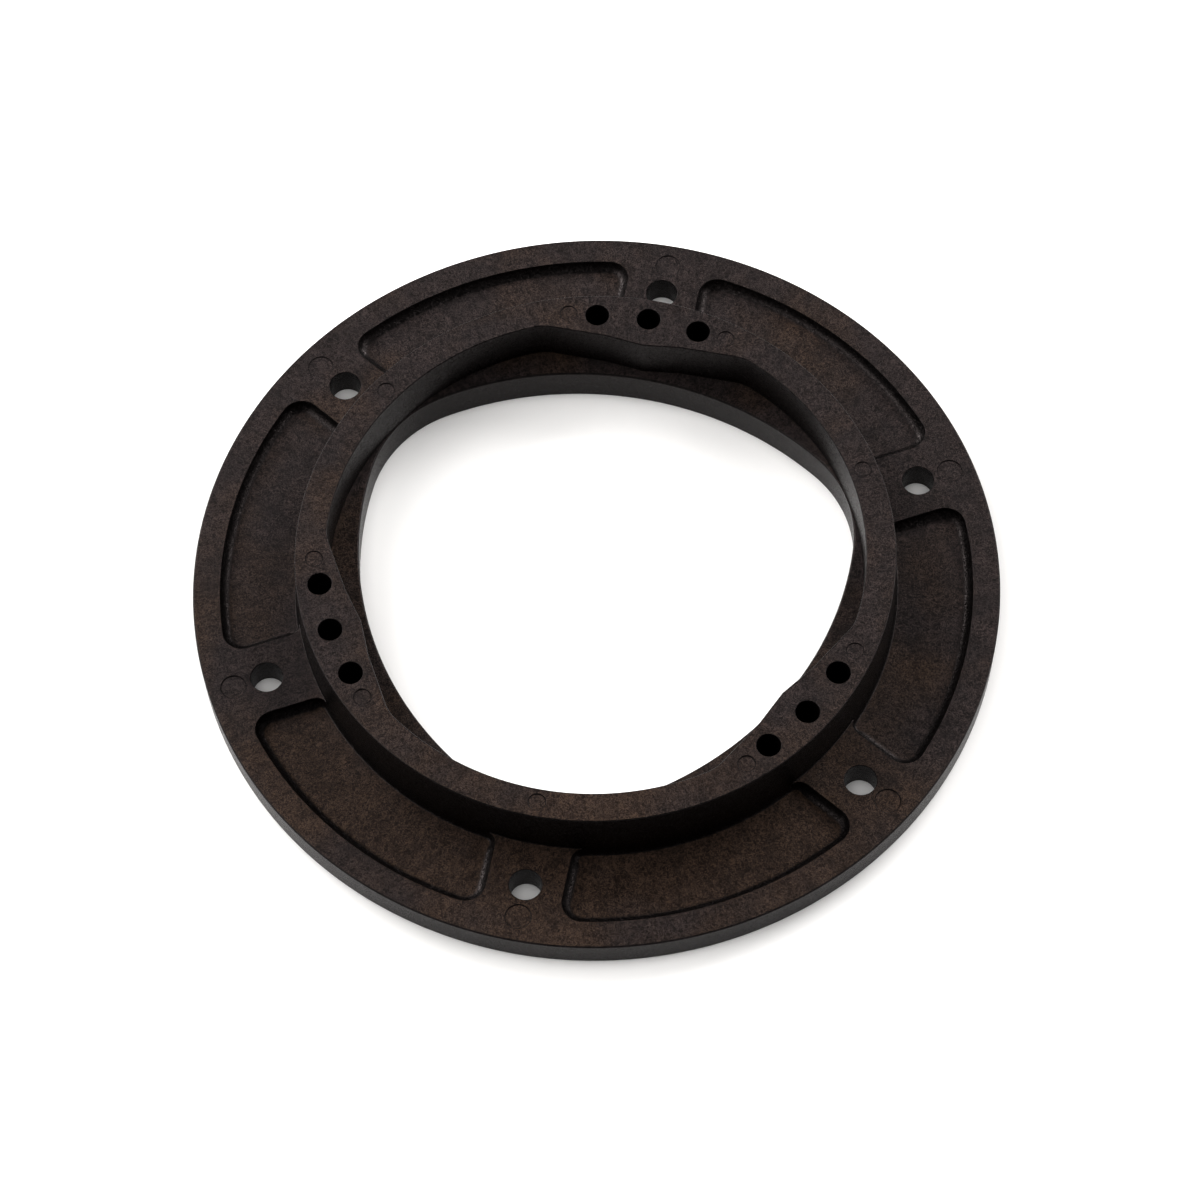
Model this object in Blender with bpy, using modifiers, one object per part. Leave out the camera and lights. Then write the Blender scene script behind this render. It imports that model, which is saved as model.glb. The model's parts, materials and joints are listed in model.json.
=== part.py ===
"""Toilet flange: the moulded ring that a toilet is bolted to, over the mouth of its drain.

It is one injection moulding in black glass-fibre nylon:

- a disc, with six closet-bolt holes on the standard 6 inch circle and a coring pocket between each pair,
- a collar on the disc, with three groups of three screw holes in its flat top,
- a stepped bore: round with three flat pads above a ledge, a rounded triangle below it.

Metres, +Z up. The origin is the centre of the underside, and +Y runs through one group of screw holes.
"""
from math import atan2, cos, hypot, pi, radians, sin, sqrt

import bmesh
import bpy
from mathutils import Matrix, Vector

PART_NAME = "toilet_flange"
NODE_NAME = "flange_body"

# --- Driving dimensions -------------------------------------------------------------------------
BOLT_CIRCLE_RADIUS = 0.0762         # closet bolts stand 6 inches apart
DISC_RADIUS = 0.0895
DISC_THICKNESS = 0.0074
OVERALL_HEIGHT = 0.0201
COLLAR_TOP_RADIUS = 0.0660

SYMMETRY = 3                        # screw groups, pads and bays
BOLT_COUNT = 6
BOLT_HOLE_DIAMETER = 0.0071
FIRST_BOLT_ANGLE = radians(30)      # bolts alternate between pads and bays

SCREW_CIRCLE_RADIUS = 0.0608
SCREW_HOLE_DIAMETER = 0.0053
SCREW_HOLE_DEPTH = 0.0150
SCREW_PITCH = radians(11)           # between neighbours in one group

# Disc and collar edges
DISC_DRAFT = 0.00015                # how much the rim narrows towards the underside
COLLAR_DRAFT = 0.0003               # how much the collar widens towards its foot
EDGE_RADIUS = 0.0004
COLLAR_FOOT_FILLET = 0.0004

# Pockets in the top of the disc
POCKET_DEPTH = 0.0022
POCKET_OUTER_RADIUS = 0.0835
POCKET_INNER_RADIUS = 0.0664        # just clear of the collar, whose wall runs on down to the pocket's floor
POCKET_WEB_HALF_WIDTH = 0.0083      # from a bolt hole's centre line to the pocket's end wall
POCKET_OUTER_CORNER = 0.0045
POCKET_INNER_CORNER = 0.0030
POCKET_FLOOR_FILLET = 0.0021        # the walls curve in almost from the mouth

# Bore
LEDGE_HEIGHT = 0.0093               # above the underside
BAY_RADIUS = 0.05935                # round stretches of the upper bore, at the collar's top
PAD_DISTANCE = 0.0547               # from the axis to a pad's flat face
PAD_TIP_DISTANCE = 0.05375          # the face comes forward to a shallow point under the middle screw
PAD_TIP_HALF_WIDTH = 0.0088
PAD_CORNER_RADIUS = 0.0100
UPPER_BORE_FOOT_SCALE = 0.9975      # draft: the upper bore narrows down to the ledge
LOWER_SIDE_DISTANCE = 0.05135       # from the axis to a side of the rounded triangle, at the ledge
LOWER_SIDE_RADIUS = 0.0770
LOWER_CORNER_DISTANCE = 0.0589      # from the axis to a corner of the rounded triangle, at the ledge
LOWER_BORE_FOOT_SCALE = 1.0080      # draft: the lower bore opens towards the underside

# Fineness of the curves
TURN_STEPS = 120
BOLT_HOLE_SIDES = 28
SCREW_HOLE_SIDES = 24
FILLET_STEPS = 4

BLANK_BORE_RADIUS = 0.0450          # the turned blank is open well inside the finished bore
CUT_CLEARANCE = 0.0030              # how far a cutter runs past the face that it opens

PLASTIC_COLOUR = (0.027, 0.024, 0.024, 1.0)
PLASTIC_ROUGHNESS = 0.5
PLASTIC_METALLIC = 0.0


# --- Scene helpers ------------------------------------------------------------------------------
def clear_scene():
    for obj in list(bpy.data.objects):
        bpy.data.objects.remove(obj, do_unlink=True)


def new_collection(name):
    collection = bpy.data.collections.new(name)
    bpy.context.scene.collection.children.link(collection)
    return collection


def mesh_object(name, bm, collection):
    """Turn a bmesh into an object, with its faces pointing out."""
    bmesh.ops.recalc_face_normals(bm, faces=bm.faces)
    mesh = bpy.data.meshes.new(name)
    bm.to_mesh(mesh)
    bm.free()
    obj = bpy.data.objects.new(name, mesh)
    collection.objects.link(obj)
    return obj


def plastic():
    material = bpy.data.materials.new("black_glass_filled_nylon")
    material.use_nodes = True
    shader = material.node_tree.nodes["Principled BSDF"]
    shader.inputs["Base Color"].default_value = PLASTIC_COLOUR
    shader.inputs["Roughness"].default_value = PLASTIC_ROUGHNESS
    shader.inputs["Metallic"].default_value = PLASTIC_METALLIC
    return material


# --- Outlines: closed, counter-clockwise lists of (x, y) ------------------------------------------
def arc(centre, radius, start, end, steps):
    """Points from start to end, both included, around a centre."""
    angles = [start + (end - start) * i / steps for i in range(steps + 1)]
    return [(centre[0] + radius * cos(a), centre[1] + radius * sin(a)) for a in angles]


def rotated(points, angle):
    return [(x * cos(angle) - y * sin(angle), x * sin(angle) + y * cos(angle)) for x, y in points]


def without_repeats(points):
    """Drop each point that coincides with the one before it, also across the end of the list."""
    return [p for i, p in enumerate(points) if hypot(p[0] - points[i - 1][0], p[1] - points[i - 1][1]) > 1e-6]


def three_fold(sector):
    """Repeat a sector around the axis to close the outline."""
    points = []
    for i in range(SYMMETRY):
        points += rotated(sector, i * 2 * pi / SYMMETRY)
    return without_repeats(points)


def upper_bore_outline():
    """A circle with three pads standing into it, the first across +Y."""
    corner_y = PAD_DISTANCE - PAD_CORNER_RADIUS
    corner_x = sqrt((BAY_RADIUS - PAD_CORNER_RADIUS) ** 2 - corner_y ** 2)
    corner_angle = atan2(corner_y, corner_x)
    sector = arc((corner_x, corner_y), PAD_CORNER_RADIUS, corner_angle, pi / 2, 3)
    sector += [(PAD_TIP_HALF_WIDTH, PAD_DISTANCE), (0.0, PAD_TIP_DISTANCE), (-PAD_TIP_HALF_WIDTH, PAD_DISTANCE)]
    sector += arc((-corner_x, corner_y), PAD_CORNER_RADIUS, pi / 2, pi - corner_angle, 3)
    sector += arc((0.0, 0.0), BAY_RADIUS, pi - corner_angle, corner_angle + 2 * pi / SYMMETRY, 20)
    return three_fold(sector)


def lower_bore_outline():
    """A triangle with bowed sides and round corners, the first side across +Y.

    Each side is an arc centred beyond the axis. Each corner is an arc that meets both its sides without a kink,
    which fixes how far its centre lies from the axis.
    """
    side_offset = LOWER_SIDE_RADIUS - LOWER_SIDE_DISTANCE
    gap = LOWER_SIDE_RADIUS - LOWER_CORNER_DISTANCE
    corner_offset = (side_offset ** 2 - gap ** 2) / (2 * gap - side_offset)
    corner_radius = LOWER_CORNER_DISTANCE - corner_offset
    corner_direction = pi / 2 + pi / SYMMETRY
    corner = (corner_offset * cos(corner_direction), corner_offset * sin(corner_direction))
    join = atan2(corner[1] + side_offset, corner[0])
    sector = arc((0.0, -side_offset), LOWER_SIDE_RADIUS, pi - join, join, 16)
    sector += arc(corner, corner_radius, join, 2 * corner_direction - join, 14)
    return three_fold(sector)


def pocket_outline():
    """The pocket that lies across +X, between two bolt holes; its end walls run along the holes' centre lines."""
    half_span = pi / BOLT_COUNT
    outer_y = POCKET_WEB_HALF_WIDTH + POCKET_OUTER_CORNER
    outer_x = sqrt((POCKET_OUTER_RADIUS - POCKET_OUTER_CORNER) ** 2 - outer_y ** 2)
    outer_angle = atan2(outer_y, outer_x)
    inner_y = POCKET_WEB_HALF_WIDTH + POCKET_INNER_CORNER
    inner_x = sqrt((POCKET_INNER_RADIUS + POCKET_INNER_CORNER) ** 2 - inner_y ** 2)
    inner_angle = atan2(inner_y, inner_x)
    # One half, drawn with the bolt hole's centre line along +X and turned back afterwards
    half = arc((0.0, 0.0), POCKET_INNER_RADIUS, half_span, inner_angle, 6)
    half += arc((inner_x, inner_y), POCKET_INNER_CORNER, inner_angle + pi, 3 * pi / 2, 3)
    half += arc((outer_x, outer_y), POCKET_OUTER_CORNER, -pi / 2, outer_angle, 5)
    half += arc((0.0, 0.0), POCKET_OUTER_RADIUS, outer_angle, half_span, 7)
    half = rotated(half, -half_span)
    other_half = [(x, -y) for x, y in reversed(half)]
    return without_repeats(half + other_half)


# --- Solids -------------------------------------------------------------------------------------
def add_prism(bm, outline, low, high, foot_scale=1.0):
    """A solid on a closed outline, with its foot scaled about the axis."""
    top = bm.faces.new([bm.verts.new((x, y, high)) for x, y in outline])
    extruded = bmesh.ops.extrude_face_region(bm, geom=[top])["geom"]
    for vert in (item for item in extruded if isinstance(item, bmesh.types.BMVert)):
        vert.co = Vector((vert.co.x * foot_scale, vert.co.y * foot_scale, low))


def add_post(bm, radius, sides, distance, angle, low, high):
    """An upright cylinder at a distance from the axis."""
    centre = Vector((distance * cos(angle), distance * sin(angle), (low + high) / 2))
    bmesh.ops.create_cone(bm, cap_ends=True, segments=sides, radius1=radius, radius2=radius,
                          depth=high - low, matrix=Matrix.Translation(centre))


def turned_blank(collection):
    """Disc and collar as one turned ring, from the top of the collar down its outer side and back up inside."""
    collar_foot_radius = COLLAR_TOP_RADIUS + COLLAR_DRAFT
    rim_foot_radius = DISC_RADIUS - DISC_DRAFT
    profile = [
        (BLANK_BORE_RADIUS, OVERALL_HEIGHT),
        (COLLAR_TOP_RADIUS - EDGE_RADIUS, OVERALL_HEIGHT),
        (COLLAR_TOP_RADIUS, OVERALL_HEIGHT - EDGE_RADIUS),
        (collar_foot_radius, DISC_THICKNESS + COLLAR_FOOT_FILLET),
        (collar_foot_radius + COLLAR_FOOT_FILLET, DISC_THICKNESS),
        (DISC_RADIUS - EDGE_RADIUS, DISC_THICKNESS),
        (DISC_RADIUS, DISC_THICKNESS - EDGE_RADIUS),
        (rim_foot_radius, EDGE_RADIUS),
        (rim_foot_radius - EDGE_RADIUS, 0.0),
        (BLANK_BORE_RADIUS, 0.0),
    ]
    mesh = bpy.data.meshes.new(NODE_NAME)
    edges = [(i, (i + 1) % len(profile)) for i in range(len(profile))]
    mesh.from_pydata([(r, 0.0, z) for r, z in profile], edges, [])
    body = bpy.data.objects.new(NODE_NAME, mesh)
    collection.objects.link(body)
    turn = body.modifiers.new("turn", "SCREW")
    turn.axis = "Z"
    turn.angle = 2 * pi
    turn.steps = TURN_STEPS
    turn.render_steps = TURN_STEPS
    turn.use_merge_vertices = True
    turn.merge_threshold = 1e-5
    return body


def bore_cutters(collection):
    """The two stages of the bore; the lower one runs up into the upper one."""
    upper = bmesh.new()
    add_prism(upper, upper_bore_outline(), LEDGE_HEIGHT, OVERALL_HEIGHT, UPPER_BORE_FOOT_SCALE)
    # The top of the cutter rises straight up, out of the collar
    cap = max(upper.faces, key=lambda face: face.calc_center_median().z)
    risen = bmesh.ops.extrude_face_region(upper, geom=[cap])["geom"]
    bmesh.ops.delete(upper, geom=[cap], context="FACES_ONLY")
    bmesh.ops.translate(upper, vec=(0.0, 0.0, CUT_CLEARANCE),
                        verts=[item for item in risen if isinstance(item, bmesh.types.BMVert)])
    lower = bmesh.new()
    add_prism(lower, lower_bore_outline(), -CUT_CLEARANCE, LEDGE_HEIGHT + CUT_CLEARANCE, LOWER_BORE_FOOT_SCALE)
    return [mesh_object("upper_bore_cutter", upper, collection), mesh_object("lower_bore_cutter", lower, collection)]


def pocket_cutters(collection):
    bm = bmesh.new()
    floor = DISC_THICKNESS - POCKET_DEPTH
    for i in range(BOLT_COUNT):
        outline = rotated(pocket_outline(), i * 2 * pi / BOLT_COUNT)
        add_prism(bm, outline, floor, DISC_THICKNESS + CUT_CLEARANCE)
    cutter = mesh_object("pocket_cutter", bm, collection)
    fillet = cutter.modifiers.new("floor_fillet", "BEVEL")
    fillet.width = POCKET_FLOOR_FILLET
    fillet.segments = FILLET_STEPS
    fillet.limit_method = "ANGLE"
    fillet.angle_limit = radians(60)
    return cutter


def bolt_hole_cutters(collection):
    bm = bmesh.new()
    for i in range(BOLT_COUNT):
        angle = FIRST_BOLT_ANGLE + i * 2 * pi / BOLT_COUNT
        add_post(bm, BOLT_HOLE_DIAMETER / 2, BOLT_HOLE_SIDES, BOLT_CIRCLE_RADIUS, angle,
                 -CUT_CLEARANCE, DISC_THICKNESS + CUT_CLEARANCE)
    return mesh_object("bolt_hole_cutter", bm, collection)


def screw_hole_cutters(collection):
    bm = bmesh.new()
    for group in range(SYMMETRY):
        for place in (-1, 0, 1):
            angle = pi / 2 + group * 2 * pi / SYMMETRY + place * SCREW_PITCH
            add_post(bm, SCREW_HOLE_DIAMETER / 2, SCREW_HOLE_SIDES, SCREW_CIRCLE_RADIUS, angle,
                     OVERALL_HEIGHT - SCREW_HOLE_DEPTH, OVERALL_HEIGHT + CUT_CLEARANCE)
    return mesh_object("screw_hole_cutter", bm, collection)


def cut(body, cutter):
    cutter.hide_render = True
    cutter.display_type = "WIRE"
    boolean = body.modifiers.new(cutter.name.replace("_cutter", ""), "BOOLEAN")
    boolean.operation = "DIFFERENCE"
    boolean.solver = "EXACT"
    boolean.object = cutter


def main():
    clear_scene()
    part = new_collection(PART_NAME)
    tools = new_collection("cutters")
    body = turned_blank(part)
    body.data.materials.append(plastic())
    cutters = bore_cutters(tools)
    cutters += [pocket_cutters(tools), bolt_hole_cutters(tools), screw_hole_cutters(tools)]
    for cutter in cutters:
        cut(body, cutter)


main()
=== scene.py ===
"""Looks of the toilet flange: a fine surface and a glass-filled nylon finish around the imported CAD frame.

The ring is one moulding, so it is one piece. Its walls are contours skinned along rounded profiles, and its
flat faces are filled between the walls' edges. Metres, +Z up, in the frame of the CAD model.
"""

import json
from bisect import bisect_right
from math import asin, atan2, cos, hypot, pi, radians, sin, sqrt

import bmesh
import bpy
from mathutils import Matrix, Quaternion, Vector


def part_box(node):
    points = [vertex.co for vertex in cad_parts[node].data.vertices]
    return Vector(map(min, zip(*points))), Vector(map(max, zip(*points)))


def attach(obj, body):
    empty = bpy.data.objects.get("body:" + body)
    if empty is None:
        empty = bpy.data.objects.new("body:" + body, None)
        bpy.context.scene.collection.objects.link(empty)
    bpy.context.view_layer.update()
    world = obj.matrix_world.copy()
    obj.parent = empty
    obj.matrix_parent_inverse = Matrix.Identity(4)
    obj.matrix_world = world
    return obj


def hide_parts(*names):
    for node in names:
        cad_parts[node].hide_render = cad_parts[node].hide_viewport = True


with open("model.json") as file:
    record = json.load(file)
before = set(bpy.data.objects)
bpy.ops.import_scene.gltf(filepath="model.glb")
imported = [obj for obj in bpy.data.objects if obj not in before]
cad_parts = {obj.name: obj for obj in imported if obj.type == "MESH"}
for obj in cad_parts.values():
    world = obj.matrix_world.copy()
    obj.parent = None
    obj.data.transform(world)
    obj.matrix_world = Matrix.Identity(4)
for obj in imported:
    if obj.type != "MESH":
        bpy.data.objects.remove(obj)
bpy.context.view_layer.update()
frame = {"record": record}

MM = 0.001
NODE = "flange_body"

# --- Sizes that the frame gives -----------------------------------------------------------------
MOUNTS = {mount["name"]: Vector(mount["pos_m"]) for mount in frame["record"]["mounts"]}
DISC_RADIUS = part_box(NODE)[1].x
COLLAR_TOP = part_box(NODE)[1].z
DISC_TOP = MOUNTS["disc_top"].z
UNDERSIDE = MOUNTS["underside"].z

# --- Sizes shared with the CAD model --------------------------------------------------------------
SYMMETRY = 3                            # screw groups, pads and bays
BOLT_COUNT = 6
FIRST_BOLT = radians(30)
BOLT_CIRCLE = 76.2 * MM
BOLT_HOLE_RADIUS = 3.55 * MM
SCREW_CIRCLE = 60.8 * MM
SCREW_HOLE_RADIUS = 2.65 * MM
SCREW_HOLE_DEPTH = 15.0 * MM
SCREW_PITCH = radians(11)
COLLAR_RADIUS = 66.0 * MM
COLLAR_DRAFT = 0.3 * MM
DISC_DRAFT = 0.15 * MM
COLLAR_FOOT_RADIUS = COLLAR_RADIUS + COLLAR_DRAFT
POCKET_DEPTH = 2.2 * MM
POCKET_OUTER_RADIUS = 83.5 * MM
POCKET_WEB_HALF_WIDTH = 8.3 * MM
POCKET_OUTER_CORNER = 4.5 * MM
POCKET_INNER_CORNER = 3.0 * MM
LEDGE = 9.3 * MM
BAY_RADIUS = 59.35 * MM
PAD_DISTANCE = 54.7 * MM
PAD_TIP_DISTANCE = 53.75 * MM
PAD_TIP_HALF_WIDTH = 8.8 * MM
PAD_CORNER_RADIUS = 10.0 * MM
LOWER_SIDE_DISTANCE = 51.35 * MM
LOWER_SIDE_RADIUS = 77.0 * MM
LOWER_CORNER_DISTANCE = 58.9 * MM
UPPER_BORE_DRAFT = 0.14 * MM            # the upper bore narrows by this down to the ledge
LOWER_BORE_AT_LEDGE = 0.08 * MM         # how far outside its contour the lower bore is at the ledge
LOWER_BORE_AT_FOOT = 0.33 * MM          # and at the underside

# --- Edges, which the CAD model only chamfers or leaves sharp --------------------------------------
OUTER_EDGE = 0.4 * MM
BORE_EDGE = 0.3 * MM
HOLE_EDGE = 0.15 * MM
COLLAR_EDGE = 0.25 * MM
COLLAR_FOOT_FILLET = 0.3 * MM           # between the pockets only
SCREW_HOLE_FLOOR_FILLET = 0.5 * MM
LEDGE_EDGE = 0.45 * MM                  # at most; less where the ledge is narrow
LEDGE_EDGE_SHARE = 0.5                  # of the ledge's width

# --- Pocket walls -----------------------------------------------------------------------------------
POCKET_WALL_RADIUS = 2.6 * MM           # the wall is one arc, steep at the mouth and level at the floor
POCKET_FOOT_SHARE = 0.3                 # under the collar it reaches in by this share of that arc

# --- Witness marks of the ejector pins --------------------------------------------------------------
RIM_MARK_RADIUS = 2.9 * MM
RIM_MARK_CIRCLE = 83.8 * MM
COLLAR_MARK_RADIUS = 2.0 * MM
PAD_MARK_CIRCLE = 61.7 * MM
PAD_MARK_ANGLE = radians(17)            # either side of a screw group's middle
BAY_MARK_CIRCLE = 62.5 * MM
MARK_DEPTH = 0.2 * MM
MARK_SLOPE = 0.2 * MM

# --- Steps that curves are drawn in -----------------------------------------------------------------
EDGE_STEPS = 4
HOLE_EDGE_STEPS = 3
STRAIGHT_STEPS = 8
DISC_STEPS = 360
PAD_CORNER_STEPS = 8
BORE_SIDE_STEPS = 56
LOWER_CORNER_STEPS = 48
WEB_FOOT_STEPS = 24
POCKET_FOOT_STEPS = 24                  # for half a pocket, as for the next three
POCKET_INNER_CORNER_STEPS = 12
POCKET_OUTER_CORNER_STEPS = 16
POCKET_OUTER_STEPS = 28
POCKET_WALL_STEPS = 12
BOLT_HOLE_STEPS = 64
SCREW_HOLE_STEPS = 56
MARK_STEPS = 48

TOLERANCE = 1e-3 * MM
SHARP_ANGLE = radians(40)
FLAT_FACE_WEIGHT = 90                   # how far the weighted normals follow the large faces

# --- Finish: colours are linear RGBA, noise scales are per millimetre --------------------------------
RESIN = (0.0005, 0.0002, 0.0002, 1.0)
FIBRE = (0.045, 0.033, 0.031, 1.0)
BROWN_RESIN = (0.006, 0.0024, 0.0008, 1.0)
BROWN_FIBRE = (0.065, 0.040, 0.025, 1.0)
DARK_CLOUD = (0.006, 0.006, 0.007, 1.0)
# Painted shade: the walls' colours are the same nylon made far darker than on the flat faces
SHADED_WALL_RESIN = (0.0005, 0.0005, 0.0005, 1.0)
SHADED_WALL_FIBRE = (0.0040, 0.0028, 0.0028, 1.0)
STREAKS = {"scale": 1.2, "detail": 2.0, "roughness": 0.6, "distortion": 0.8}
GRAIN = {"scale": 1.9, "detail": 2.0, "roughness": 0.6, "distortion": 1.0}
CURLS = {"scale": 1.2, "detail": 2.0, "roughness": 0.6, "distortion": 1.2}
CLOUDS = {"scale": 0.14, "detail": 4.0, "roughness": 0.65, "distortion": 0.5}
BROWNS = {"scale": 0.045, "detail": 2.0, "roughness": 0.5}
PATCHES = {"scale": 0.32, "detail": 3.0, "roughness": 0.6, "distortion": 0.6}
FLOW_STRETCH = 0.5                      # along the flow; under 1 draws the pattern out
NOISE_MIDDLE = 0.5
THREAD_RANGE, THREAD_SHARE = 0.05, 1.10
SPECK_LOW, SPECK_HIGH, SPECK_SHARE = 0.88, 1.12, 0.40
PATCH_LOW, PATCH_HIGH = 0.32, 0.68      # of the noise
PATCH_LEAST, PATCH_MOST = 0.52, 1.28    # of the fibre
CLOUD_LOW, CLOUD_HIGH, CLOUD_SHARE = 0.40, 0.62, 0.35
BROWN_LOW, BROWN_HIGH, BROWN_SHARE = 0.50, 0.75, 0.85
# Painted light: a paler, browner share towards -Y and in the pockets there lightens the collar's shadow and
# also warms those pockets
PAINTED_LIGHT_FULL_Y = -60.0                      # millimetres; the painted light grows from the axis to here
FRONT_PAINTED_LIGHT, FRONT_POCKET_PAINTED_LIGHT = 0.16, 0.14
STEEP_TILT, FLAT_TILT = 0.93, 0.995     # the normal's height, from a steep face to a flat one
RESIN_ROUGHNESS, FIBRE_ROUGHNESS = 0.34, 0.24
FLAT_ROUGHNESS = 0.22                   # what a flat face has on top
FIBRE_RELIEF = 0.03 * MM
NYLON_IOR = 1.38
REFLECTION_TINT = (1.0, 0.86, 0.84, 1.0)

# --- Stage: distances in metres, angles in degrees, powers in watts ---------------------------------
FLOOR_SIZE = 3.0
FLOOR_GAP = 0.02 * MM
FLOOR_DARK = (0.875, 0.863, 0.850, 1.0)
FLOOR_PALE = (0.895, 0.885, 0.874, 1.0)
FLOOR_TONE_SCALE = 9.0                  # per metre
FLOOR_TONE_LOW, FLOOR_TONE_HIGH = 0.3, 0.7
FLOOR_ROUGHNESS = 0.9
FLOOR_SPECULAR = 0.2
WHITE = (1.0, 1.0, 1.0)
WORLD_STRENGTH = 0.05
LIGHT_DISTANCE = 1.5
SMALL_LIGHT, LARGE_LIGHT = 0.75, 1.1
VIEW_GAMMA = 0.77                       # the photo's dark tones fall off faster than linear light

# --- Camera -----------------------------------------------------------------------------------------
CAMERA_AIM = Vector((1.96, -5.36, 7.4)) * MM
CAMERA_DISTANCE = 937.8 * MM
CAMERA_AZIMUTH = radians(12.945)
CAMERA_ELEVATION = radians(61.386)
CAMERA_ROLL = radians(-1.763)
CAMERA_LENS_MM = 127.19
CAMERA_SENSOR_MM = 36.0


# --- Contours: closed lists of (x, y, nx, ny), where the normal points out of what they enclose -------
def arc(centre, radius, start, end, steps, facing=1):
    """Points from start to end; facing is -1 where the outside lies towards the arc's centre."""
    points = []
    for i in range(steps + 1):
        a = start + (end - start) * i / steps
        x, y = centre[0] + radius * cos(a), centre[1] + radius * sin(a)
        points.append((x, y, facing * cos(a), facing * sin(a)))
    return points


def line(start, end, steps):
    """Points of a straight run, with the outside on its right."""
    dx, dy = end[0] - start[0], end[1] - start[1]
    length = hypot(dx, dy)
    return [(start[0] + dx * i / steps, start[1] + dy * i / steps, dy / length, -dx / length)
            for i in range(steps + 1)]


def turned(points, angle):
    c, s = cos(angle), sin(angle)
    return [(x * c - y * s, x * s + y * c, nx * c - ny * s, nx * s + ny * c) for x, y, nx, ny in points]


def joined(points):
    """Merge neighbours that coincide, giving the pair the mean of their normals."""
    merged = []
    for x, y, nx, ny in points:
        if merged and hypot(x - merged[-1][0], y - merged[-1][1]) < TOLERANCE:
            _, _, ox, oy = merged.pop()
            nx, ny = nx + ox, ny + oy
        length = hypot(nx, ny)
        merged.append((x, y, nx / length, ny / length))
    if hypot(merged[0][0] - merged[-1][0], merged[0][1] - merged[-1][1]) < TOLERANCE:
        merged.pop()
    return merged


def three_fold(sector):
    points = []
    for i in range(SYMMETRY):
        points += turned(sector, i * 2 * pi / SYMMETRY)
    return joined(points)


def circle(radius, steps, distance=0.0, angle=0.0):
    """A circle whose centre stands at a distance from the axis."""
    return joined(arc((distance * cos(angle), distance * sin(angle)), radius, 0.0, 2 * pi, steps))


def upper_bore():
    """A circle with three pads standing into it, the first across +Y."""
    corner_y = PAD_DISTANCE - PAD_CORNER_RADIUS
    corner_x = sqrt((BAY_RADIUS - PAD_CORNER_RADIUS) ** 2 - corner_y ** 2)
    corner_angle = atan2(corner_y, corner_x)
    right_end, left_end = (PAD_TIP_HALF_WIDTH, PAD_DISTANCE), (-PAD_TIP_HALF_WIDTH, PAD_DISTANCE)
    tip = (0.0, PAD_TIP_DISTANCE)
    sector = arc((corner_x, corner_y), PAD_CORNER_RADIUS, corner_angle, pi / 2, PAD_CORNER_STEPS)
    sector += line((corner_x, PAD_DISTANCE), right_end, STRAIGHT_STEPS)
    sector += line(right_end, tip, STRAIGHT_STEPS)
    sector += line(tip, left_end, STRAIGHT_STEPS)
    sector += line(left_end, (-corner_x, PAD_DISTANCE), STRAIGHT_STEPS)
    sector += arc((-corner_x, corner_y), PAD_CORNER_RADIUS, pi / 2, pi - corner_angle, PAD_CORNER_STEPS)
    next_corner = corner_angle + 2 * pi / SYMMETRY
    sector += arc((0.0, 0.0), BAY_RADIUS, pi - corner_angle, next_corner, BORE_SIDE_STEPS)
    return three_fold(sector)


def lower_bore():
    """A triangle with bowed sides, and round corners that meet them without a kink."""
    side_offset = LOWER_SIDE_RADIUS - LOWER_SIDE_DISTANCE
    gap = LOWER_SIDE_RADIUS - LOWER_CORNER_DISTANCE
    corner_offset = (side_offset ** 2 - gap ** 2) / (2 * gap - side_offset)
    corner_direction = pi / 2 + pi / SYMMETRY
    corner = (corner_offset * cos(corner_direction), corner_offset * sin(corner_direction))
    join = atan2(corner[1] + side_offset, corner[0])
    sector = arc((0.0, -side_offset), LOWER_SIDE_RADIUS, pi - join, join, BORE_SIDE_STEPS)
    sector += arc(corner, LOWER_CORNER_DISTANCE - corner_offset, join, 2 * corner_direction - join,
                  LOWER_CORNER_STEPS)
    return three_fold(sector)


def pocket(angle):
    """The pocket centred at an angle, between two bolt holes. Its inner side is the collar's foot."""
    half_span = pi / BOLT_COUNT
    outer_y = POCKET_WEB_HALF_WIDTH + POCKET_OUTER_CORNER
    outer_x = sqrt((POCKET_OUTER_RADIUS - POCKET_OUTER_CORNER) ** 2 - outer_y ** 2)
    outer_angle = atan2(outer_y, outer_x)
    inner_y = POCKET_WEB_HALF_WIDTH + POCKET_INNER_CORNER
    inner_x = sqrt((COLLAR_FOOT_RADIUS + POCKET_INNER_CORNER) ** 2 - inner_y ** 2)
    inner_angle = atan2(inner_y, inner_x)
    # One half, drawn with the bolt hole's centre line along +X and turned back afterwards
    half = arc((0.0, 0.0), COLLAR_FOOT_RADIUS, half_span, inner_angle, POCKET_FOOT_STEPS, facing=-1)
    half += arc((inner_x, inner_y), POCKET_INNER_CORNER, inner_angle + pi, 3 * pi / 2,
                POCKET_INNER_CORNER_STEPS)
    half += line((inner_x, POCKET_WEB_HALF_WIDTH), (outer_x, POCKET_WEB_HALF_WIDTH), STRAIGHT_STEPS)
    half += arc((outer_x, outer_y), POCKET_OUTER_CORNER, -pi / 2, outer_angle, POCKET_OUTER_CORNER_STEPS)
    half += arc((0.0, 0.0), POCKET_OUTER_RADIUS, outer_angle, half_span, POCKET_OUTER_STEPS)
    half = turned(half, -half_span)
    other_half = [(x, -y, nx, -ny) for x, y, nx, ny in reversed(half)]
    return joined(turned(half + other_half, angle))


def bolt_angles():
    return [FIRST_BOLT + i * 2 * pi / BOLT_COUNT for i in range(BOLT_COUNT)]


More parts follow.
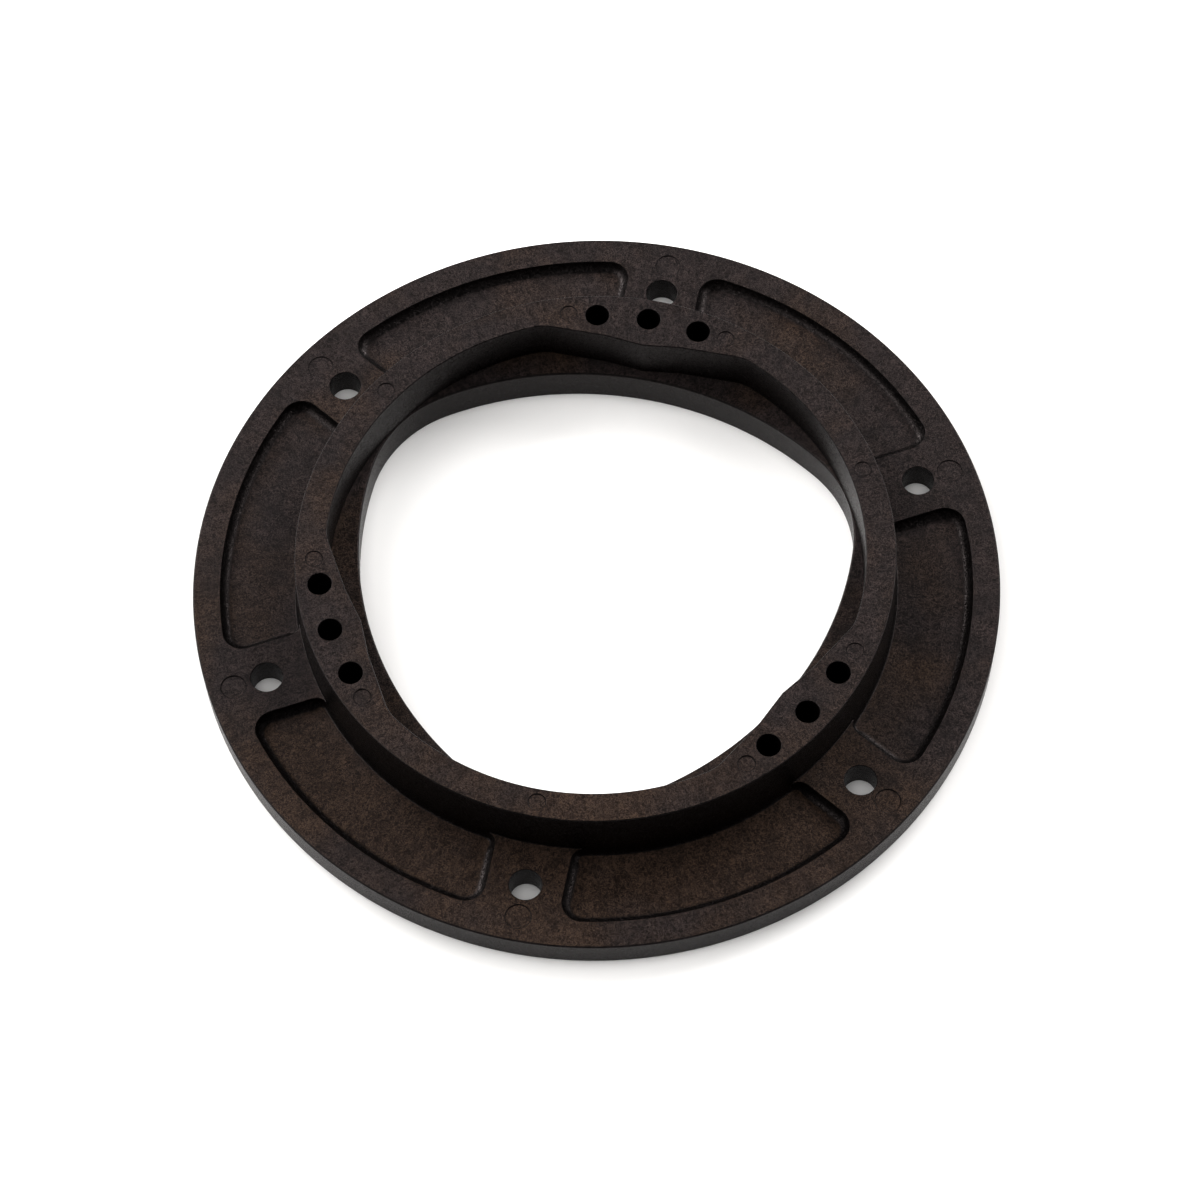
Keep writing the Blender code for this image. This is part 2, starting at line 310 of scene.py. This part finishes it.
def collar_foot():
    """The circle at the collar's foot, with its points shared with the pockets, and a share for each point.

    The share is 0 along a pocket and 1 between two pockets.
    """
    inner_y = POCKET_WEB_HALF_WIDTH + POCKET_INNER_CORNER
    web_half_angle = asin(inner_y / (COLLAR_FOOT_RADIUS + POCKET_INNER_CORNER))
    points, shares = [], []
    for bolt in bolt_angles():
        web_end, next_web = bolt + web_half_angle, bolt + 2 * pi / BOLT_COUNT - web_half_angle
        web = arc((0.0, 0.0), COLLAR_FOOT_RADIUS, bolt - web_half_angle, web_end, WEB_FOOT_STEPS)
        side = arc((0.0, 0.0), COLLAR_FOOT_RADIUS, web_end, next_web, 2 * POCKET_FOOT_STEPS)
        points += web[:-1] + side[:-1]
        shares += [0.0] + [1.0] * (len(web) - 2) + [0.0] * (len(side) - 1)
    return points, shares


# --- Profiles: lists of (distance outside the contour, height) ----------------------------------------
OUT, IN, UP, DOWN = (1, 0), (-1, 0), (0, 1), (0, -1)


def rounded(offset, height, start, end, radius, steps=EDGE_STEPS):
    """A quarter circle in place of the corner at (offset, height), which start and end lead away from."""
    points = []
    for i in range(steps + 1):
        a = pi / 2 * i / steps
        towards_start, towards_end = radius * (1 - sin(a)), radius * (1 - cos(a))
        points.append((offset + start[0] * towards_start + end[0] * towards_end,
                       height + start[1] * towards_start + end[1] * towards_end))
    return points


def ring(bm, contour, offset, height):
    """Vertices on a contour moved outwards; offset is a number, or a list with one for each point."""
    offsets = offset if isinstance(offset, list) else [offset] * len(contour)
    return [bm.verts.new((x + nx * d, y + ny * d, height)) for (x, y, nx, ny), d in zip(contour, offsets)]


def wall(bm, rings):
    """Skin rings of equally many vertices, and return the first and the last."""
    for low, high in zip(rings, rings[1:]):
        for i in range(len(low)):
            bm.faces.new((low[i - 1], low[i], high[i], high[i - 1]))
    return rings[0], rings[-1]


def profile_wall(bm, contour, profile):
    return wall(bm, [ring(bm, contour, offset, height) for offset, height in profile])


def fill(bm, edges):
    bmesh.ops.triangle_fill(bm, use_beauty=True, use_dissolve=False, edges=edges)


def plate(bm, loops):
    """Fill the flat face between an outer loop and any loops inside it."""
    fill(bm, [bm.edges.get((loop[i - 1], loop[i])) for loop in loops for i in range(len(loop))])


def fill_at(bm, height):
    """Weld the walls that meet at a height, and fill the flat face between their open edges there."""
    level = [vert for vert in bm.verts if abs(vert.co.z - height) < TOLERANCE]
    bmesh.ops.remove_doubles(bm, verts=level, dist=TOLERANCE)
    fill(bm, [edge for edge in bm.edges
              if edge.is_boundary and all(abs(vert.co.z - height) < TOLERANCE for vert in edge.verts)])


# --- The ring's features; those that border a flat face filled later return their loops there -----------
def disc_rim(bm):
    profile = rounded(0.0, DISC_TOP, IN, DOWN, OUTER_EDGE)
    profile += rounded(-DISC_DRAFT, UNDERSIDE, UP, IN, OUTER_EDGE)
    return profile_wall(bm, circle(DISC_RADIUS, DISC_STEPS), profile)


def collar_wall(bm):
    """Its foot has a fillet between the pockets, and runs straight into each pocket's wall."""
    contour, shares = collar_foot()
    rings = [ring(bm, contour, offset - COLLAR_DRAFT, height)
             for offset, height in rounded(0.0, COLLAR_TOP, IN, DOWN, COLLAR_EDGE)]
    for out, up in rounded(0.0, 0.0, UP, OUT, COLLAR_FOOT_FILLET):
        verts = ring(bm, contour, [out * share for share in shares], DISC_TOP)
        for vert, share in zip(verts, shares):
            vert.co.z += up * share
        rings.append(verts)
    return wall(bm, rings)


def upper_bore_wall(bm, contour):
    profile = rounded(0.0, COLLAR_TOP, OUT, DOWN, BORE_EDGE)
    profile.append((-UPPER_BORE_DRAFT, LEDGE))
    return profile_wall(bm, contour, profile)


def radius_at(contour):
    """A function that gives how far the contour is from the axis at an angle."""
    polar = sorted((atan2(y, x), hypot(x, y)) for x, y, _, _ in contour)
    polar = [(polar[-1][0] - 2 * pi, polar[-1][1])] + polar + [(polar[0][0] + 2 * pi, polar[0][1])]
    angles = [a for a, _ in polar]

    def radius(angle):
        i = bisect_right(angles, angle)
        (a0, r0), (a1, r1) = polar[i - 1], polar[i]
        return r0 + (r1 - r0) * (angle - a0) / (a1 - a0)
    return radius


def lower_bore_wall(bm, contour, upper_contour):
    """Its top edge is rounded as much as the ledge has room for."""
    upper_radius = radius_at(upper_contour)
    widths = [upper_radius(atan2(y, x)) - UPPER_BORE_DRAFT - hypot(x, y) - LOWER_BORE_AT_LEDGE
              for x, y, _, _ in contour]
    edges = [min(LEDGE_EDGE, LEDGE_EDGE_SHARE * width) for width in widths]
    rings = []
    for share_out, share_down in rounded(0.0, 0.0, OUT, DOWN, 1.0):
        verts = ring(bm, contour, [LOWER_BORE_AT_LEDGE + share_out * edge for edge in edges], LEDGE)
        for vert, edge in zip(verts, edges):
            vert.co.z += share_down * edge
        rings.append(verts)
    foot = rounded(LOWER_BORE_AT_FOOT, UNDERSIDE, UP, OUT, BORE_EDGE)
    rings += [ring(bm, contour, offset, height) for offset, height in foot]
    return wall(bm, rings)


def pocket_walls(bm):
    """Each is an arc down to the floor, narrower where the pocket's side is the collar."""
    mouth = asin(1 - POCKET_DEPTH / POCKET_WALL_RADIUS)
    profile = []
    for i in range(POCKET_WALL_STEPS + 1):
        a = mouth + (pi / 2 - mouth) * i / POCKET_WALL_STEPS
        profile.append((POCKET_WALL_RADIUS * (cos(a) - cos(mouth)),
                        DISC_TOP - POCKET_WALL_RADIUS * (sin(a) - sin(mouth))))
    for i in range(BOLT_COUNT):
        contour = pocket(i * 2 * pi / BOLT_COUNT)
        from_foot = [(hypot(x, y) - COLLAR_FOOT_RADIUS) / POCKET_INNER_CORNER for x, y, _, _ in contour]
        shares = [POCKET_FOOT_SHARE + (1 - POCKET_FOOT_SHARE) * min(1.0, far) for far in from_foot]
        rings = [ring(bm, contour, [out * share for share in shares], height) for out, height in profile]
        _, floor_edge = wall(bm, rings)
        plate(bm, [floor_edge])


def bolt_holes(bm):
    profile = rounded(0.0, DISC_TOP, OUT, DOWN, HOLE_EDGE, HOLE_EDGE_STEPS)
    profile += rounded(0.0, UNDERSIDE, UP, OUT, HOLE_EDGE, HOLE_EDGE_STEPS)
    return [profile_wall(bm, circle(BOLT_HOLE_RADIUS, BOLT_HOLE_STEPS, BOLT_CIRCLE, angle), profile)
            for angle in bolt_angles()]


def group_angles(*sides):
    """Angles at each screw group's middle, and to its sides."""
    return [pi / 2 + i * 2 * pi / SYMMETRY + side for i in range(SYMMETRY) for side in sides]


def screw_holes(bm):
    profile = rounded(0.0, COLLAR_TOP, OUT, DOWN, HOLE_EDGE, HOLE_EDGE_STEPS)
    profile += rounded(0.0, COLLAR_TOP - SCREW_HOLE_DEPTH, UP, IN, SCREW_HOLE_FLOOR_FILLET)
    mouths = []
    for angle in group_angles(-SCREW_PITCH, 0.0, SCREW_PITCH):
        contour = circle(SCREW_HOLE_RADIUS, SCREW_HOLE_STEPS, SCREW_CIRCLE, angle)
        mouth, floor_edge = profile_wall(bm, contour, profile)
        plate(bm, [floor_edge])
        mouths.append(mouth)
    return mouths


def ejector_mark(bm, radius, distance, angle, height):
    profile = [(0.0, height), (-MARK_SLOPE, height - MARK_DEPTH)]
    mouth, floor_edge = profile_wall(bm, circle(radius, MARK_STEPS, distance, angle), profile)
    plate(bm, [floor_edge])
    return mouth


def flange_ring():
    bm = bmesh.new()
    _, underside_edge = disc_rim(bm)
    collar_edge, _ = collar_wall(bm)
    upper_contour = upper_bore()
    bore_mouth, ledge_outer = upper_bore_wall(bm, upper_contour)
    ledge_inner, bore_foot = lower_bore_wall(bm, lower_bore(), upper_contour)
    bolts = bolt_holes(bm)
    for angle in bolt_angles():
        ejector_mark(bm, RIM_MARK_RADIUS, RIM_MARK_CIRCLE, angle, DISC_TOP)
    pocket_walls(bm)
    collar_marks = [ejector_mark(bm, COLLAR_MARK_RADIUS, PAD_MARK_CIRCLE, a, COLLAR_TOP)
                    for a in group_angles(-PAD_MARK_ANGLE, PAD_MARK_ANGLE)]
    collar_marks += [ejector_mark(bm, COLLAR_MARK_RADIUS, BAY_MARK_CIRCLE, a, COLLAR_TOP)
                     for a in group_angles(pi / SYMMETRY)]
    fill_at(bm, DISC_TOP)
    plate(bm, [collar_edge, bore_mouth] + screw_holes(bm) + collar_marks)
    plate(bm, [ledge_outer, ledge_inner])
    plate(bm, [underside_edge, bore_foot] + [foot for _, foot in bolts])
    bmesh.ops.recalc_face_normals(bm, faces=bm.faces)
    mesh = bpy.data.meshes.new("flange_ring")
    bm.to_mesh(mesh)
    bm.free()
    mesh.shade_smooth()
    mesh.set_sharp_from_angle(angle=SHARP_ANGLE)
    piece = bpy.data.objects.new("flange_ring", mesh)
    bpy.context.scene.collection.objects.link(piece)
    weighted = piece.modifiers.new("flat_faces_stay_flat", "WEIGHTED_NORMAL")
    weighted.weight = FLAT_FACE_WEIGHT
    weighted.keep_sharp = True
    return piece


# --- Materials -----------------------------------------------------------------------------------------
def add_node(tree, kind, inputs=None, **settings):
    """A node with its settings, and its inputs given as values or as the sockets that feed them."""
    node = tree.nodes.new(kind)
    for name, value in settings.items():
        setattr(node, name, value)
    for name, value in (inputs or {}).items():
        if isinstance(value, bpy.types.NodeSocket):
            tree.links.new(value, node.inputs[name])
        else:
            node.inputs[name].default_value = value
    return node


def math_node(tree, operation, *values):
    return add_node(tree, "ShaderNodeMath", dict(enumerate(values)), operation=operation).outputs[0]


def noise(tree, vector, scale, detail=3.0, roughness=0.55, distortion=0.0):
    inputs = {"Vector": vector, "Scale": scale, "Detail": detail, "Roughness": roughness,
              "Distortion": distortion}
    return add_node(tree, "ShaderNodeTexNoise", inputs).outputs["Fac"]


def between(tree, value, low, high, to_low=0.0, to_high=1.0):
    """Stretch low..high of a value to to_low..to_high, clamped."""
    inputs = {"Value": value, "From Min": low, "From Max": high, "To Min": to_low, "To Max": to_high}
    return add_node(tree, "ShaderNodeMapRange", inputs, clamp=True).outputs[0]


def mix_colour(tree, share, first, second):
    node = add_node(tree, "ShaderNodeMix", data_type="RGBA")
    for index, value in ((0, share), (6, first), (7, second)):
        if isinstance(value, bpy.types.NodeSocket):
            tree.links.new(value, node.inputs[index])
        else:
            node.inputs[index].default_value = value
    return node.outputs[2]


def flow_coordinates(tree, axes):
    """Points on a tube as wide as the bolt circle: fine around it, stretched along the flow."""
    squares = [math_node(tree, "MULTIPLY", axis, axis) for axis in (axes[0], axes[1])]
    out = math_node(tree, "SQRT", math_node(tree, "ADD", *squares))
    around = [math_node(tree, "MULTIPLY", math_node(tree, "DIVIDE", axis, out), BOLT_CIRCLE / MM)
              for axis in (axes[0], axes[1])]
    along = math_node(tree, "MULTIPLY", math_node(tree, "ADD", out, axes[2]), FLOW_STRETCH)
    return add_node(tree, "ShaderNodeCombineXYZ", {0: around[0], 1: around[1], 2: along}).outputs[0]


def fibre_pattern(tree, millimetres, flow):
    """How much glass fibre shows: thin curled threads, and specks where streaks and grain meet."""
    # Threads are the thin lines along which the curls' noise is at its middle value
    curls = noise(tree, millimetres, **CURLS)
    off_line = math_node(tree, "ABSOLUTE", math_node(tree, "SUBTRACT", curls, NOISE_MIDDLE))
    threads = between(tree, off_line, 0.0, THREAD_RANGE, THREAD_SHARE, 0.0)
    both = math_node(tree, "ADD", noise(tree, flow, **STREAKS), noise(tree, millimetres, **GRAIN))
    specks = between(tree, both, SPECK_LOW, SPECK_HIGH, 0.0, SPECK_SHARE)
    return math_node(tree, "ADD", threads, specks)


def brown_clouds_and_painted_light(tree, millimetres, axes):
    """Brown clouds, and painted light: a paler brown share towards -Y and more in the pockets there, which
    lightens the collar's shadow and warms those pockets.
    """
    pocket_floor = (DISC_TOP - POCKET_DEPTH) / MM
    pocket_painted_light = between(tree, axes[2], pocket_floor, DISC_TOP / MM, FRONT_POCKET_PAINTED_LIGHT, 0.0)
    front_painted_light = between(tree, axes[1], 0.0, PAINTED_LIGHT_FULL_Y, 0.0, math_node(tree, "ADD", pocket_painted_light, FRONT_PAINTED_LIGHT))
    browns = math_node(tree, "ADD", noise(tree, millimetres, **BROWNS), front_painted_light)
    return between(tree, browns, BROWN_LOW, BROWN_HIGH, 0.0, BROWN_SHARE)


def flat_face_colour(tree, fibre, millimetres, axes, flow):
    patches = between(tree, noise(tree, flow, **PATCHES), PATCH_LOW, PATCH_HIGH, PATCH_LEAST, PATCH_MOST)
    shown = math_node(tree, "MULTIPLY", fibre, patches)
    black = mix_colour(tree, shown, RESIN, FIBRE)
    clouds = between(tree, noise(tree, millimetres, **CLOUDS), CLOUD_LOW, CLOUD_HIGH, 0.0, CLOUD_SHARE)
    clouded = mix_colour(tree, clouds, black, DARK_CLOUD)
    brown = mix_colour(tree, shown, BROWN_RESIN, BROWN_FIBRE)
    return mix_colour(tree, brown_clouds_and_painted_light(tree, millimetres, axes), clouded, brown)


def glass_filled_nylon():
    """Black nylon with short glass fibres, satin on the flat faces and glossier on the steep ones."""
    material = bpy.data.materials.new("glass_filled_nylon")
    material.use_nodes = True
    tree = material.node_tree
    shader = tree.nodes["Principled BSDF"]
    coordinates = add_node(tree, "ShaderNodeTexCoord").outputs
    millimetres = add_node(tree, "ShaderNodeVectorMath", {0: coordinates["Object"], "Scale": 1 / MM},
                           operation="SCALE").outputs[0]
    axes = add_node(tree, "ShaderNodeSeparateXYZ", {0: millimetres}).outputs
    flow = flow_coordinates(tree, axes)
    fibre = fibre_pattern(tree, millimetres, flow)

    # Faces that lie flat, either way up, are rougher than walls; walls get a far darker copy of the colour,
    # painted shade on the steep faces
    tilt = add_node(tree, "ShaderNodeSeparateXYZ", {0: coordinates["Normal"]}).outputs[2]
    lying = between(tree, math_node(tree, "ABSOLUTE", tilt), STEEP_TILT, FLAT_TILT)
    steep = mix_colour(tree, fibre, SHADED_WALL_RESIN, SHADED_WALL_FIBRE)
    flat = flat_face_colour(tree, fibre, millimetres, axes, flow)
    tree.links.new(mix_colour(tree, lying, steep, flat), shader.inputs["Base Color"])

    matt = between(tree, lying, 0.0, 1.0, 0.0, FLAT_ROUGHNESS)
    polish = between(tree, fibre, 0.0, 1.0, RESIN_ROUGHNESS, FIBRE_ROUGHNESS)
    tree.links.new(math_node(tree, "ADD", polish, matt), shader.inputs["Roughness"])
    shader.inputs["IOR"].default_value = NYLON_IOR
    shader.inputs["Specular Tint"].default_value = REFLECTION_TINT
    relief = {"Height": fibre, "Strength": 1.0, "Distance": FIBRE_RELIEF}
    tree.links.new(add_node(tree, "ShaderNodeBump", relief).outputs[0], shader.inputs["Normal"])
    return material


def pale_floor_paint():
    material = bpy.data.materials.new("pale_floor")
    material.use_nodes = True
    tree = material.node_tree
    shader = tree.nodes["Principled BSDF"]
    place = add_node(tree, "ShaderNodeTexCoord").outputs["Object"]
    tone = between(tree, noise(tree, place, FLOOR_TONE_SCALE), FLOOR_TONE_LOW, FLOOR_TONE_HIGH)
    tree.links.new(mix_colour(tree, tone, FLOOR_DARK, FLOOR_PALE), shader.inputs["Base Color"])
    shader.inputs["Roughness"].default_value = FLOOR_ROUGHNESS
    shader.inputs["Specular IOR Level"].default_value = FLOOR_SPECULAR
    return material


# --- Stage -----------------------------------------------------------------------------------------------
def pale_floor():
    bm = bmesh.new()
    bmesh.ops.create_grid(bm, x_segments=8, y_segments=8, size=FLOOR_SIZE)
    mesh = bpy.data.meshes.new("floor")
    bm.to_mesh(mesh)
    bm.free()
    floor = bpy.data.objects.new("floor", mesh)
    floor.location.z = UNDERSIDE - FLOOR_GAP
    bpy.context.scene.collection.objects.link(floor)
    mesh.materials.append(pale_floor_paint())


def direction(azimuth, elevation):
    """A unit vector towards a place around the object, with azimuth turned from the camera's side."""
    a = CAMERA_AZIMUTH + azimuth
    return Vector((sin(a) * cos(elevation), -cos(a) * cos(elevation), sin(elevation)))


def soft_light(name, azimuth, elevation, size, power):
    """A square light; azimuth is 0 on the camera's side and -90 on its left."""
    data = bpy.data.lights.new(name, "AREA")
    data.shape = "SQUARE"
    data.size = size
    data.energy = power
    data.color = WHITE
    light = bpy.data.objects.new(name, data)
    back = direction(radians(azimuth), radians(elevation))
    light.location = back * LIGHT_DISTANCE
    light.rotation_mode = "QUATERNION"
    light.rotation_quaternion = (-back).to_track_quat("-Z", "Y")
    bpy.context.scene.collection.objects.link(light)
    return light


def studio():
    world = bpy.data.worlds.new("studio")
    bpy.context.scene.world = world
    world.use_nodes = True
    background = world.node_tree.nodes["Background"]
    background.inputs["Color"].default_value = (*WHITE, 1.0)
    background.inputs["Strength"].default_value = WORLD_STRENGTH
    soft_light("back_left", azimuth=-135, elevation=32, size=SMALL_LIGHT, power=22.0)
    soft_light("back_right", azimuth=135, elevation=32, size=SMALL_LIGHT, power=19.5)
    soft_light("left", azimuth=-90, elevation=42, size=LARGE_LIGHT, power=17.0)
    soft_light("right", azimuth=90, elevation=32, size=SMALL_LIGHT, power=10.0)
    fill_light = soft_light("fill", azimuth=0, elevation=80, size=LARGE_LIGHT, power=11.0)
    fill_light.visible_glossy = False    # it lightens the shadows, and the photo shows no reflection of it
    bpy.context.scene.view_settings.view_transform = "Standard"
    bpy.context.scene.view_settings.gamma = VIEW_GAMMA


def camera():
    data = bpy.data.cameras.new("camera")
    data.lens = CAMERA_LENS_MM
    data.sensor_width = CAMERA_SENSOR_MM
    cam = bpy.data.objects.new("camera", data)
    back = direction(0.0, CAMERA_ELEVATION)
    cam.location = CAMERA_AIM + back * CAMERA_DISTANCE
    cam.rotation_mode = "QUATERNION"
    cam.rotation_quaternion = (-back).to_track_quat("-Z", "Y") @ Quaternion((0.0, 0.0, 1.0), CAMERA_ROLL)
    bpy.context.scene.collection.objects.link(cam)
    bpy.context.scene.camera = cam


camera()
studio()
pale_floor()
body = flange_ring()
body.data.materials.append(glass_filled_nylon())
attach(body, "root")
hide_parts(NODE)
